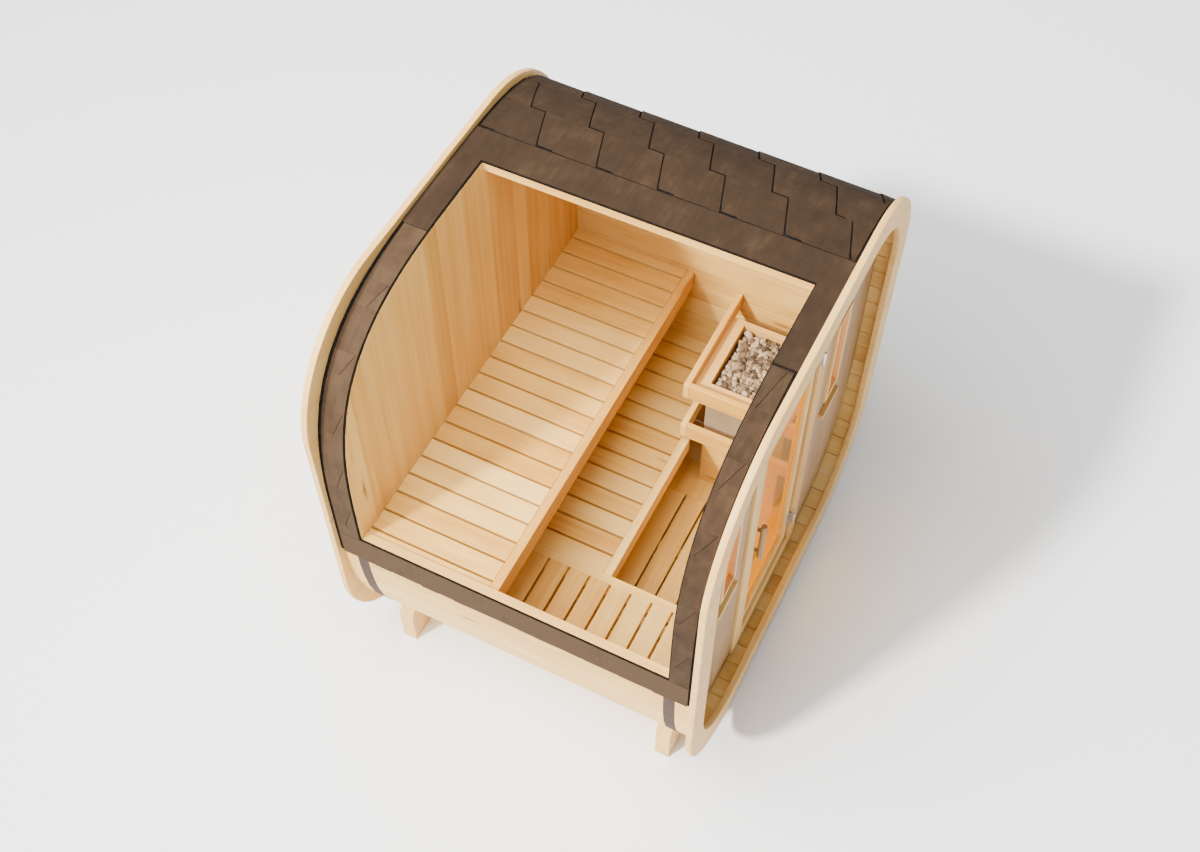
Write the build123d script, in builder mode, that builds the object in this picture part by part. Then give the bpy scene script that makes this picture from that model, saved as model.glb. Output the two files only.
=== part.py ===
from build123d import *
import math
import os

os.makedirs("parts", exist_ok=True)

# A rounded-square barrel sauna cabin. Millimetres, Z up, the ground at Z = 0.
# The door wall faces -Y, the benches stand at the back (+Y), the heater is on the right (+X).

# Outline of the cabin. The rings are rounded rectangles; the skin is a rounded square whose corners
# have powers of their own, two at the shoulders and one for the belly.
CENTRE_Z = 1117.0
RING_HALF_WIDTH = 1016.0
RING_HALF_HEIGHT = 1063.0
RING_CORNER_RADIUS = 545.0
RING_BOARD = 125.0
SKIN_HALF_WIDTH = 992.0
SKIN_HALF_HEIGHT = 1036.0
SKIN_LEFT_SHOULDER = 3.29
SKIN_RIGHT_SHOULDER = 4.3
SKIN_BELLY = 3.65
RING_THICKNESS = 28.0
SHINGLE_THICKNESS = 6.0
STAVE_THICKNESS = 41.0
STAVE_COUNT = 68

# Length along Y.
RING_FACE_Y = 834.0
WALL_INNER_FRONT_Y = -702.0
WALL_INNER_BACK_Y = 688.0
END_WALL_THICKNESS = 40.0

# The opening in the roof, as angles of the hoop from +X towards +Z, and how far it runs in Y.
CUT_RIGHT_ANGLE = 86.6
CUT_LEFT_ANGLE = 180.6
SHINGLE_EDGE_Z = 880.0

# Benches: slats 90 wide with open gaps between them.
SLAT_PITCH = 100.0
SLAT_GAP = 9.0
SLAT_THICKNESS = 28.0
BEARER_HEIGHT = 45.0
BEARER_WIDTH = 40.0
UPPER_BENCH_Z = 1020.0
UPPER_FRONT_Y = 75.0
UPPER_GAP_FROM_X = -911.0
UPPER_GAP_COUNT = 19
LOWER_BENCH_Z = 577.0
LOWER_FRONT_Y = -190.0
LOWER_GAP_FROM_X = -355.0
LOWER_GAP_COUNT = 13
FASCIA_THICKNESS = 40.0
FASCIA_HEIGHT = 92.0
APRON_SETBACK = 24.0
APRON_HEIGHT = 92.0
SIDE_BENCH_X = -449.0
SIDE_GAP_FROM_Y = 94.0
SIDE_GAP_COUNT = 7
BENCH_WALL_GAP = 0.3
FIT_CLEARANCE = 0.3

# Duckboard on the floor.
DUCK_TOP_Z = 190.0
DUCK_LEFT_X = -440.0
DUCK_RIGHT_X = 520.0
DUCK_BACK_Y = 160.0
DUCK_SLAT = 96.0
DUCK_PITCH = 106.0
DUCK_LEDGER = 45.0

# Heater with its rail guard.
GUARD_X = 343.0
GUARD_Y = -147.0
GUARD_BOARD = 28.0
GUARD_HEIGHT = 88.0
GUARD_UPPER_Z = 1000.0
GUARD_LOWER_Z = 700.0
STONE_LEFT_X = 441.0
STONE_RIGHT_X = 813.0
STONE_BACK_Y = -241.0
STONE_FRONT_Y = -600.0
STONE_DEPTH = 170.0
STONE_TOP_Z = 938.0
STONE_FRAME_TOP_Z = 952.0
STONE_FRAME_HEIGHT = 60.0
STONE_FRAME_RIGHT_X = 838.0
STONE_FRAME_FRONT_Y = -640.0
HEATER_SHEET = 12.0
HEATER_BASE_Z = 490.0
HEATER_BASE_WIDTH = 170.0

# Door wall. The door turns outwards on its right jamb.
DOOR_CENTRE_X = -4.0
DOOR_OPENING_WIDTH = 534.0
DOOR_OPENING_BOTTOM = 262.0
DOOR_OPENING_TOP = 1830.0
DOOR_CLEARANCE = 5.0
DOOR_THICKNESS = 38.0
DOOR_STILE = 44.0
DOOR_RAIL = 66.0
GLASS_THICKNESS = 8.0
CASING_WIDTH = 92.0
CASING_THICKNESS = 14.0
HINGE_HEIGHT = 76.0
HINGE_LEAF = 32.0
HINGE_PLATE = 3.0
HINGE_BARREL_RADIUS = 7.0
HANDLE_LENGTH = 240.0
HANDLE_RADIUS = 13.0
WINDOW_CENTRE_X = 552.0
WINDOW_WIDTH = 150.0
WINDOW_BOTTOM = 1070.0
WINDOW_TOP = 1600.0
WINDOW_FRAME = 22.0
WINDOW_SILL_Z = 990.0
SILL_LENGTH = 190.0
SILL_DEPTH = 22.0
SILL_HEIGHT = 24.0

# Straps and feet.
STRAP_WIDTH = 50.0
STRAP_THICKNESS = 2.0
STRAP_Y = 709.0
FOOT_THICKNESS = 70.0
FOOT_Y = 650.0
FOOT_HALF_LENGTH = 868.0
FOOT_END_HEIGHT = 205.0
FOOT_CHAMFER = 70.0

stave_inset = SHINGLE_THICKNESS
inner_inset = SHINGLE_THICKNESS + STAVE_THICKNESS
ring_rear_y = RING_FACE_Y - RING_THICKNESS
wall_outer_front_y = WALL_INNER_FRONT_Y - END_WALL_THICKNESS
wall_outer_back_y = WALL_INNER_BACK_Y + END_WALL_THICKNESS


def hoop_point(angle, inset):
    """A point of the skin at an angle in degrees from +X towards +Z, moved in along its normal."""
    c = math.cos(math.radians(angle))
    s = math.sin(math.radians(angle))
    power = SKIN_BELLY if s < 0 else SKIN_RIGHT_SHOULDER if c > 0 else SKIN_LEFT_SHOULDER
    x = math.copysign(abs(c) ** (2 / power) * SKIN_HALF_WIDTH, c)
    z = math.copysign(abs(s) ** (2 / power) * SKIN_HALF_HEIGHT, s)
    nx = math.copysign((abs(x) / SKIN_HALF_WIDTH) ** (power - 1) / SKIN_HALF_WIDTH, x)
    nz = math.copysign((abs(z) / SKIN_HALF_HEIGHT) ** (power - 1) / SKIN_HALF_HEIGHT, z)
    length = math.hypot(nx, nz)
    return (x - inset * nx / length, CENTRE_Z + z - inset * nz / length)


def even_angles(count):
    """Angles that part the skin into boards of even width, from the top round to the left."""
    fine = [90 + 0.1 * k for k in range(3601)]
    length = [0.0]
    last = hoop_point(fine[0], 0)
    for angle in fine[1:]:
        point = hoop_point(angle, 0)
        length.append(length[-1] + math.dist(last, point))
        last = point
    angles = []
    k = 0
    for board in range(count + 1):
        goal = min(length[-1] * board / count, length[-1])
        while k < len(length) - 1 and length[k] < goal - 1e-6:
            k += 1
        angles.append(fine[k])
    return angles


stave_angles = even_angles(STAVE_COUNT)


def skin_points(start, end, inset):
    """Board corners of the skin between two angles, ends included."""
    angles = [a + turn for turn in (-360, 0, 360) for a in stave_angles[:-1]]
    inside = sorted(a for a in angles if start + 0.4 < a < end - 0.4)
    span = [start] + inside + [end]
    return [hoop_point(a, inset) for a in span]


def skin_outline(start, end, outer_inset, inner_inset_here):
    """Closed outline of a piece of the skin between two insets."""
    outer = skin_points(start, end, outer_inset)
    inner = skin_points(start, end, inner_inset_here)
    return outer + inner[::-1] + outer[:1]


def inner_half_width(z):
    """Half width between the inner faces of the staves at a height."""
    corners = skin_points(-90, 90, inner_inset)
    for (x_low, z_low), (x_high, z_high) in zip(corners, corners[1:]):
        if z_low <= z <= z_high:
            return x_low + (x_high - x_low) * (z - z_low) / (z_high - z_low)
    return 0.0


def angle_at_height(z):
    """Angle on the right half at which the skin has a height."""
    return min((abs(hoop_point(-90 + 0.1 * k, 0)[1] - z), -90 + 0.1 * k) for k in range(1801))[1]


def export_piece(piece, name):
    """Write one part under its node name."""
    piece.part.label = name
    export_step(piece.part, "parts/" + name + ".step")


# Staves: the load-bearing skin, laid front to back. Below the opening they run the full length.
right_edge_angle = angle_at_height(SHINGLE_EDGE_Z)
left_turn = min(stave_angles, key=lambda a: abs(a - 228))
right_turn = min(stave_angles, key=lambda a: abs(a - 312))
top_turn = min(stave_angles, key=lambda a: abs(a - 408))
stave_runs = {
    "left_staves": (CUT_LEFT_ANGLE, left_turn),
    "floor_staves": (left_turn, right_turn),
    "right_staves": (right_turn, top_turn),
    "roof_staves": (top_turn, 360.0 + CUT_RIGHT_ANGLE),
}
for run_name, (run_start, run_end) in stave_runs.items():
    with BuildPart() as stave_run:
        with BuildSketch(Plane.XZ.offset(-ring_rear_y)):
            with BuildLine():
                Polyline(*skin_outline(run_start, run_end, stave_inset, inner_inset))
            make_face()
        extrude(amount=2 * ring_rear_y)
    export_piece(stave_run, run_name)

# Two narrow hoops of staves left standing in front of and behind the opening.
hoop_runs = {
    "front_hoop_staves": (-ring_rear_y, WALL_INNER_FRONT_Y),
    "back_hoop_staves": (WALL_INNER_BACK_Y, ring_rear_y),
}
for run_name, (low_y, high_y) in hoop_runs.items():
    with BuildPart() as hoop_run:
        with BuildSketch(Plane.XZ.offset(-high_y)):
            with BuildLine():
                Polyline(*skin_outline(CUT_RIGHT_ANGLE, CUT_LEFT_ANGLE, stave_inset, inner_inset))
            make_face()
        extrude(amount=high_y - low_y)
    export_piece(hoop_run, run_name)

# Shingles over the staves down to mid-height, and the straight cap along the crown.
left_edge_angle = 180.0 - right_edge_angle
with BuildPart() as right_shingles:
    with BuildSketch(Plane.XZ.offset(-ring_rear_y)):
        with BuildLine():
            Polyline(*skin_outline(right_edge_angle, CUT_RIGHT_ANGLE, 0, stave_inset))
        make_face()
    extrude(amount=2 * ring_rear_y)
export_piece(right_shingles, "right_shingles")

with BuildPart() as left_shingles:
    with BuildSketch(Plane.XZ.offset(-ring_rear_y)):
        with BuildLine():
            Polyline(*skin_outline(CUT_LEFT_ANGLE, left_edge_angle, 0, stave_inset))
        make_face()
    extrude(amount=2 * ring_rear_y)
    for low_y, high_y in hoop_runs.values():
        with BuildSketch(Plane.XZ.offset(-high_y)):
            with BuildLine():
                Polyline(*skin_outline(CUT_RIGHT_ANGLE, CUT_LEFT_ANGLE, 0, stave_inset))
            make_face()
        extrude(amount=high_y - low_y)
export_piece(left_shingles, "left_shingles")

# Rings: the flat trim hoops that close both ends of the skin.
ring_sides = {"front_ring": -ring_rear_y, "back_ring": RING_FACE_Y}
for ring_name, ring_y in ring_sides.items():
    with BuildPart() as ring:
        with BuildSketch(Plane.XZ.offset(-ring_y)):
            with Locations((0, CENTRE_Z)):
                RectangleRounded(2 * RING_HALF_WIDTH, 2 * RING_HALF_HEIGHT, RING_CORNER_RADIUS)
                RectangleRounded(2 * (RING_HALF_WIDTH - RING_BOARD), 2 * (RING_HALF_HEIGHT - RING_BOARD),
                                 RING_CORNER_RADIUS - RING_BOARD, mode=Mode.SUBTRACT)
        extrude(amount=RING_THICKNESS)
    export_piece(ring, ring_name)

# End walls: tongued boards standing inside the skin.
wall_outline = skin_points(90, 450, inner_inset)[:-1]
room_outline = skin_points(90, 450, inner_inset + FIT_CLEARANCE)[:-1]
room_length = WALL_INNER_BACK_Y - WALL_INNER_FRONT_Y
with BuildPart() as back_wall:
    with BuildSketch(Plane.XZ.offset(-wall_outer_back_y)):
        with BuildLine():
            Polyline(*wall_outline, close=True)
        make_face()
    extrude(amount=END_WALL_THICKNESS)
export_piece(back_wall, "back_wall")

door_left_x = DOOR_CENTRE_X - DOOR_OPENING_WIDTH / 2
door_right_x = DOOR_CENTRE_X + DOOR_OPENING_WIDTH / 2
door_mid_z = (DOOR_OPENING_BOTTOM + DOOR_OPENING_TOP) / 2
window_mid_z = (WINDOW_BOTTOM + WINDOW_TOP) / 2
wall_parts = {
    "front_wall_left": (-RING_HALF_WIDTH, door_left_x, 0.0, 2 * CENTRE_Z),
    "front_wall_right": (door_right_x, RING_HALF_WIDTH, 0.0, 2 * CENTRE_Z),
    "front_wall_top": (door_left_x, door_right_x, DOOR_OPENING_TOP, 2 * CENTRE_Z),
    "front_wall_sill": (door_left_x, door_right_x, 0.0, DOOR_OPENING_BOTTOM),
}
for wall_name, (x_low, x_high, z_low, z_high) in wall_parts.items():
    with BuildPart() as wall_piece:
        with BuildSketch(Plane.XZ.offset(-WALL_INNER_FRONT_Y)):
            with BuildLine():
                Polyline(*wall_outline, close=True)
            make_face()
            with Locations(((x_low + x_high) / 2, (z_low + z_high) / 2)):
                Rectangle(x_high - x_low, z_high - z_low, mode=Mode.INTERSECT)
            with Locations((-WINDOW_CENTRE_X, window_mid_z), (WINDOW_CENTRE_X, window_mid_z)):
                Rectangle(WINDOW_WIDTH, WINDOW_TOP - WINDOW_BOTTOM, mode=Mode.SUBTRACT)
        extrude(amount=END_WALL_THICKNESS)
    export_piece(wall_piece, wall_name)

# Narrow fixed windows: a frame in the cut, a pane in the frame and a drip sill on the boards below.
pane_y = WALL_INNER_FRONT_Y - END_WALL_THICKNESS / 2
for side_name, side in (("left", -1), ("right", 1)):
    with BuildPart() as window_frame:
        with BuildSketch(Plane.XZ.offset(-WALL_INNER_FRONT_Y)):
            with Locations((side * WINDOW_CENTRE_X, window_mid_z)):
                Rectangle(WINDOW_WIDTH, WINDOW_TOP - WINDOW_BOTTOM)
                Rectangle(WINDOW_WIDTH - 2 * WINDOW_FRAME, WINDOW_TOP - WINDOW_BOTTOM - 2 * WINDOW_FRAME,
                          mode=Mode.SUBTRACT)
        extrude(amount=END_WALL_THICKNESS + CASING_THICKNESS)
    export_piece(window_frame, side_name + "_window_frame")
    with BuildPart() as window_pane:
        with BuildSketch(Plane.XZ.offset(-pane_y)):
            with Locations((side * WINDOW_CENTRE_X, window_mid_z)):
                Rectangle(WINDOW_WIDTH - 2 * WINDOW_FRAME, WINDOW_TOP - WINDOW_BOTTOM - 2 * WINDOW_FRAME)
        extrude(amount=GLASS_THICKNESS)
    export_piece(window_pane, side_name + "_window_pane")

# Casing boards round the doorway and the window sills, fixed to the wall boards.
casing_y = wall_outer_front_y
casing_mid_y = casing_y - CASING_THICKNESS / 2
casing_height = DOOR_OPENING_TOP - DOOR_OPENING_BOTTOM + 2 * CASING_WIDTH
with BuildPart() as front_trim:
    with Locations((door_left_x - CASING_WIDTH / 2, casing_mid_y, door_mid_z),
                   (door_right_x + CASING_WIDTH / 2, casing_mid_y, door_mid_z)):
        Box(CASING_WIDTH, CASING_THICKNESS, casing_height)
    with Locations((DOOR_CENTRE_X, casing_mid_y, DOOR_OPENING_BOTTOM - CASING_WIDTH / 2),
                   (DOOR_CENTRE_X, casing_mid_y, DOOR_OPENING_TOP + CASING_WIDTH / 2)):
        Box(DOOR_OPENING_WIDTH - 2 * FIT_CLEARANCE, CASING_THICKNESS, CASING_WIDTH)
    with Locations((-WINDOW_CENTRE_X, casing_y - SILL_DEPTH / 2, WINDOW_SILL_Z),
                   (WINDOW_CENTRE_X, casing_y - SILL_DEPTH / 2, WINDOW_SILL_Z)):
        Box(SILL_LENGTH, SILL_DEPTH, SILL_HEIGHT)
export_piece(front_trim, "front_trim")

# Door leaf: stiles and rails round one tall tinted pane, flush in the wall and hung on the right.
leaf_front_y = wall_outer_front_y
leaf_width = DOOR_OPENING_WIDTH - 2 * DOOR_CLEARANCE
leaf_height = DOOR_OPENING_TOP - DOOR_OPENING_BOTTOM - 2 * DOOR_CLEARANCE
with BuildPart() as door_leaf:
    with BuildSketch(Plane.XZ.offset(-leaf_front_y)):
        with Locations((DOOR_CENTRE_X, door_mid_z)):
            Rectangle(leaf_width, leaf_height)
            Rectangle(leaf_width - 2 * DOOR_STILE, leaf_height - 2 * DOOR_RAIL, mode=Mode.SUBTRACT)
    extrude(amount=-DOOR_THICKNESS)
export_piece(door_leaf, "door_leaf")

door_glass_y = leaf_front_y + DOOR_THICKNESS / 2 - GLASS_THICKNESS / 2
with BuildPart() as door_glass:
    with BuildSketch(Plane.XZ.offset(-door_glass_y)):
        with Locations((DOOR_CENTRE_X, door_mid_z)):
            Rectangle(leaf_width - 2 * DOOR_STILE, leaf_height - 2 * DOOR_RAIL)
    extrude(amount=-GLASS_THICKNESS)
export_piece(door_glass, "door_glass")

handle_x = DOOR_CENTRE_X - leaf_width / 2 + DOOR_STILE / 2
handle_z = 1000.0
HANDLE_STANDOFF = 34.0
with BuildPart() as door_handle:
    with BuildSketch(Plane.XY.offset(handle_z - HANDLE_LENGTH / 2)):
        with Locations((handle_x, leaf_front_y - HANDLE_STANDOFF)):
            Circle(HANDLE_RADIUS)
    extrude(amount=HANDLE_LENGTH)
    with BuildSketch(Plane.XZ.offset(-leaf_front_y)):
        with Locations((handle_x, handle_z - HANDLE_LENGTH / 3), (handle_x, handle_z + HANDLE_LENGTH / 3)):
            Circle(HANDLE_RADIUS * 0.7)
    extrude(amount=HANDLE_STANDOFF)
export_piece(door_handle, "door_handle")

# Hinges: a plate on the leaf with the barrel, and a plate on the casing, high and low.
hinge_x = door_right_x - DOOR_CLEARANCE / 2
hinge_y = leaf_front_y - CASING_THICKNESS - HINGE_PLATE - HINGE_BARREL_RADIUS - FIT_CLEARANCE
hinge_low_z = DOOR_OPENING_BOTTOM + 190.0
hinge_high_z = DOOR_OPENING_TOP - 190.0
with BuildPart() as door_hinges:
    for z in (hinge_low_z, hinge_high_z):
        with BuildSketch(Plane.XY.offset(z - HINGE_HEIGHT / 2)):
            with Locations((hinge_x, hinge_y)):
                Circle(HINGE_BARREL_RADIUS)
            with Locations((hinge_x - HINGE_PLATE, (hinge_y + leaf_front_y) / 2)):
                Rectangle(HINGE_PLATE, leaf_front_y - hinge_y)
            with Locations((hinge_x - HINGE_LEAF / 2, leaf_front_y - HINGE_PLATE / 2)):
                Rectangle(HINGE_LEAF, HINGE_PLATE)
        extrude(amount=HINGE_HEIGHT)
export_piece(door_hinges, "door_hinges")

with BuildPart() as jamb_hinges:
    for z in (hinge_low_z, hinge_high_z):
        with BuildSketch(Plane.XY.offset(z - HINGE_HEIGHT / 2)):
            with Locations((hinge_x + HINGE_LEAF / 2, leaf_front_y - CASING_THICKNESS - HINGE_PLATE / 2)):
                Rectangle(HINGE_LEAF, HINGE_PLATE)
        extrude(amount=HINGE_HEIGHT)
export_piece(jamb_hinges, "jamb_hinges")

# Upper bench: slats front to back on two bearers that reach from wall to wall.
upper_half = inner_half_width(UPPER_BENCH_Z) - BENCH_WALL_GAP
upper_back_y = WALL_INNER_BACK_Y
upper_slat_front = UPPER_FRONT_Y + FASCIA_THICKNESS
upper_depth = upper_back_y - upper_slat_front
with BuildPart() as upper_bench:
    with BuildSketch(Plane.XY.offset(UPPER_BENCH_Z)):
        with Locations((0, upper_slat_front + upper_depth / 2)):
            Rectangle(2 * upper_half, upper_depth)
        with Locations(*[(UPPER_GAP_FROM_X + k * SLAT_PITCH, upper_slat_front + upper_depth / 2)
                         for k in range(UPPER_GAP_COUNT)]):
            Rectangle(SLAT_GAP, upper_depth, mode=Mode.SUBTRACT)
    extrude(amount=-SLAT_THICKNESS)
    with BuildSketch(Plane.XY.offset(UPPER_BENCH_Z - SLAT_THICKNESS)):
        with Locations((0, upper_slat_front + BEARER_WIDTH), (0, upper_back_y - BEARER_WIDTH)):
            Rectangle(2 * upper_half, BEARER_WIDTH)
    extrude(amount=-BEARER_HEIGHT)
    with BuildSketch(Plane.XZ.offset(-WALL_INNER_BACK_Y)):
        with BuildLine():
            Polyline(*room_outline, close=True)
        make_face()
    extrude(amount=room_length, mode=Mode.INTERSECT)
export_piece(upper_bench, "upper_bench")

with BuildPart() as upper_fascia:
    with Locations((0, UPPER_FRONT_Y + FASCIA_THICKNESS / 2, UPPER_BENCH_Z - FASCIA_HEIGHT / 2)):
        Box(2 * upper_half, FASCIA_THICKNESS, FASCIA_HEIGHT)
    apron_z = UPPER_BENCH_Z - FASCIA_HEIGHT - APRON_HEIGHT / 2
    with Locations((0, UPPER_FRONT_Y + APRON_SETBACK + FASCIA_THICKNESS / 2, apron_z)):
        Box(2 * upper_half, FASCIA_THICKNESS, APRON_HEIGHT)
    with BuildSketch(Plane.XZ.offset(-WALL_INNER_BACK_Y)):
        with BuildLine():
            Polyline(*room_outline, close=True)
        make_face()
    extrude(amount=room_length, mode=Mode.INTERSECT)
export_piece(upper_fascia, "upper_fascia")

# Lower bench: the step in front of the upper bench, from the side bench to the right wall.
lower_half = inner_half_width(LOWER_BENCH_Z) - BENCH_WALL_GAP
lower_slat_front = LOWER_FRONT_Y + FASCIA_THICKNESS
lower_back_y = UPPER_FRONT_Y + 260.0
lower_depth = lower_back_y - lower_slat_front
lower_mid_x = (SIDE_BENCH_X + lower_half) / 2
with BuildPart() as lower_bench:
    with BuildSketch(Plane.XY.offset(LOWER_BENCH_Z)):
        with Locations((lower_mid_x, lower_slat_front + lower_depth / 2)):
            Rectangle(lower_half - SIDE_BENCH_X, lower_depth)
        with Locations(*[(LOWER_GAP_FROM_X + k * SLAT_PITCH, lower_slat_front + lower_depth / 2)
                         for k in range(LOWER_GAP_COUNT)]):
            Rectangle(SLAT_GAP, lower_depth, mode=Mode.SUBTRACT)
    extrude(amount=-SLAT_THICKNESS)
    with BuildSketch(Plane.XY.offset(LOWER_BENCH_Z - SLAT_THICKNESS)):
        with Locations((lower_mid_x, lower_slat_front + BEARER_WIDTH), (lower_mid_x, lower_back_y - BEARER_WIDTH)):
            Rectangle(lower_half - SIDE_BENCH_X, BEARER_WIDTH)
    extrude(amount=-BEARER_HEIGHT)
    with BuildSketch(Plane.XZ.offset(-WALL_INNER_BACK_Y)):
        with BuildLine():
            Polyline(*room_outline, close=True)
        make_face()
    extrude(amount=room_length, mode=Mode.INTERSECT)
export_piece(lower_bench, "lower_bench")

lower_fascia_end = GUARD_X + GUARD_BOARD - FIT_CLEARANCE
with BuildPart() as lower_fascia:
    with Locations(((SIDE_BENCH_X + lower_fascia_end) / 2, LOWER_FRONT_Y + FASCIA_THICKNESS / 2,
                    LOWER_BENCH_Z - FASCIA_HEIGHT / 2)):
        Box(lower_fascia_end - SIDE_BENCH_X, FASCIA_THICKNESS, FASCIA_HEIGHT)
    with BuildSketch(Plane.XZ.offset(-WALL_INNER_BACK_Y)):
        with BuildLine():
            Polyline(*room_outline, close=True)
        make_face()
    extrude(amount=room_length, mode=Mode.INTERSECT)
export_piece(lower_fascia, "lower_fascia")

# Side bench: slats across the cabin along the left wall, with one long rail as its front.
side_slat_right = SIDE_BENCH_X - FASCIA_THICKNESS
side_back_y = lower_back_y
side_front_y = WALL_INNER_FRONT_Y
side_length = side_back_y - side_front_y
side_depth = side_slat_right + lower_half
side_mid_x = (side_slat_right - lower_half) / 2
side_mid_y = (side_back_y + side_front_y) / 2
with BuildPart() as side_bench:
    with BuildSketch(Plane.XY.offset(LOWER_BENCH_Z)):
        with Locations((side_mid_x, side_mid_y)):
            Rectangle(side_depth, side_length)
        with Locations(*[(side_mid_x, SIDE_GAP_FROM_Y - k * SLAT_PITCH) for k in range(-2, SIDE_GAP_COUNT)]):
            Rectangle(side_depth, SLAT_GAP, mode=Mode.SUBTRACT)
    extrude(amount=-SLAT_THICKNESS)
    with BuildSketch(Plane.XY.offset(LOWER_BENCH_Z - SLAT_THICKNESS)):
        with Locations((side_slat_right - BEARER_WIDTH / 2, side_mid_y),
                       (-lower_half + BEARER_WIDTH / 2 + 20, side_mid_y)):
            Rectangle(BEARER_WIDTH, side_length)
    extrude(amount=-BEARER_HEIGHT)
    with BuildSketch(Plane.XZ.offset(-WALL_INNER_BACK_Y)):
        with BuildLine():
            Polyline(*room_outline, close=True)
        make_face()
    extrude(amount=room_length, mode=Mode.INTERSECT)
export_piece(side_bench, "side_bench")

with BuildPart() as side_rail:
    with Locations((SIDE_BENCH_X - FASCIA_THICKNESS / 2, side_mid_y, LOWER_BENCH_Z - FASCIA_HEIGHT / 2)):
        Box(FASCIA_THICKNESS, side_length, FASCIA_HEIGHT)
    with BuildSketch(Plane.XZ.offset(-WALL_INNER_BACK_Y)):
        with BuildLine():
            Polyline(*room_outline, close=True)
        make_face()
    extrude(amount=room_length, mode=Mode.INTERSECT)
export_piece(side_rail, "side_rail")

# Duckboard: slats across on three ledgers that stand on the floor staves.
duck_bottom_z = DUCK_TOP_Z - SLAT_THICKNESS
duck_front_y = WALL_INNER_FRONT_Y
duck_mid_x = (DUCK_LEFT_X + DUCK_RIGHT_X) / 2
duck_mid_y = (DUCK_BACK_Y + duck_front_y) / 2
duck_first_gap = -216.0 + 3 * DUCK_PITCH
with BuildPart() as duckboard:
    with BuildSketch(Plane.XY.offset(DUCK_TOP_Z)):
        with Locations((duck_mid_x, duck_mid_y)):
            Rectangle(DUCK_RIGHT_X - DUCK_LEFT_X, DUCK_BACK_Y - duck_front_y)
        with Locations(*[(30.0, duck_first_gap - k * DUCK_PITCH) for k in range(8)]):
            Rectangle(568.0, DUCK_PITCH - DUCK_SLAT, mode=Mode.SUBTRACT)
    extrude(amount=-SLAT_THICKNESS)
    floor_z = CENTRE_Z - SKIN_HALF_HEIGHT + inner_inset
    with BuildSketch(Plane.XY.offset(duck_bottom_z)):
        with Locations((DUCK_LEFT_X + 120, duck_mid_y), (duck_mid_x - 30, duck_mid_y), (DUCK_RIGHT_X - 160, duck_mid_y)):
            Rectangle(DUCK_LEDGER, DUCK_BACK_Y - duck_front_y)
    extrude(amount=-(duck_bottom_z - floor_z))
    with BuildSketch(Plane.XZ.offset(-WALL_INNER_BACK_Y)):
        with BuildLine():
            Polyline(*room_outline, close=True)
        make_face()
    extrude(amount=room_length, mode=Mode.INTERSECT)
export_piece(duckboard, "duckboard")

# Heater: a sheet-metal body on a timber base, open at the top for the stones, and the wide planed
# frame that covers its rim inside the guard.
heater_top_z = STONE_FRAME_TOP_Z - STONE_FRAME_HEIGHT
heater_mid_x = (STONE_LEFT_X + STONE_RIGHT_X) / 2
heater_mid_y = (STONE_BACK_Y + STONE_FRONT_Y) / 2
stone_size_x = STONE_RIGHT_X - STONE_LEFT_X
stone_size_y = STONE_BACK_Y - STONE_FRONT_Y
heater_size_x = stone_size_x + 2 * HEATER_SHEET
heater_size_y = stone_size_y + 2 * HEATER_SHEET
stone_bottom_z = STONE_TOP_Z - STONE_DEPTH
with BuildPart() as heater_body:
    with BuildSketch(Plane.XY.offset(HEATER_BASE_Z)):
        with Locations((heater_mid_x, heater_mid_y)):
            Rectangle(heater_size_x, heater_size_y)
    extrude(amount=heater_top_z - HEATER_BASE_Z)
    with BuildSketch(Plane.XY.offset(stone_bottom_z)):
        with Locations((heater_mid_x, heater_mid_y)):
            Rectangle(stone_size_x, stone_size_y)
    extrude(amount=heater_top_z - stone_bottom_z, mode=Mode.SUBTRACT)
export_piece(heater_body, "heater_body")

with BuildPart() as heater_stones:
    with BuildSketch(Plane.XY.offset(stone_bottom_z)):
        with Locations((heater_mid_x, heater_mid_y)):
            Rectangle(stone_size_x, stone_size_y)
    extrude(amount=STONE_DEPTH)
export_piece(heater_stones, "heater_stones")

frame_left_x = GUARD_X + GUARD_BOARD + FIT_CLEARANCE
frame_back_y = GUARD_Y - GUARD_BOARD - FIT_CLEARANCE
with BuildPart() as stone_frame:
    with BuildSketch(Plane.XY.offset(heater_top_z)):
        with Locations(((frame_left_x + STONE_FRAME_RIGHT_X) / 2, (frame_back_y + STONE_FRAME_FRONT_Y) / 2)):
            Rectangle(STONE_FRAME_RIGHT_X - frame_left_x, frame_back_y - STONE_FRAME_FRONT_Y)
        with Locations((heater_mid_x, heater_mid_y)):
            Rectangle(stone_size_x, stone_size_y, mode=Mode.SUBTRACT)
    extrude(amount=STONE_FRAME_HEIGHT)
export_piece(stone_frame, "stone_frame")

with BuildPart() as heater_base:
    with BuildSketch(Plane.XY.offset(HEATER_BASE_Z)):
        with Locations((STONE_LEFT_X - HEATER_SHEET + HEATER_BASE_WIDTH / 2, heater_mid_y)):
            Rectangle(HEATER_BASE_WIDTH, heater_size_y)
    extrude(amount=-(HEATER_BASE_Z - DUCK_TOP_Z - FIT_CLEARANCE))
    with BuildSketch(Plane.XZ.offset(-WALL_INNER_BACK_Y)):
        with BuildLine():
            Polyline(*room_outline, close=True)
        make_face()
    extrude(amount=room_length, mode=Mode.INTERSECT)
export_piece(heater_base, "heater_base")

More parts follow.
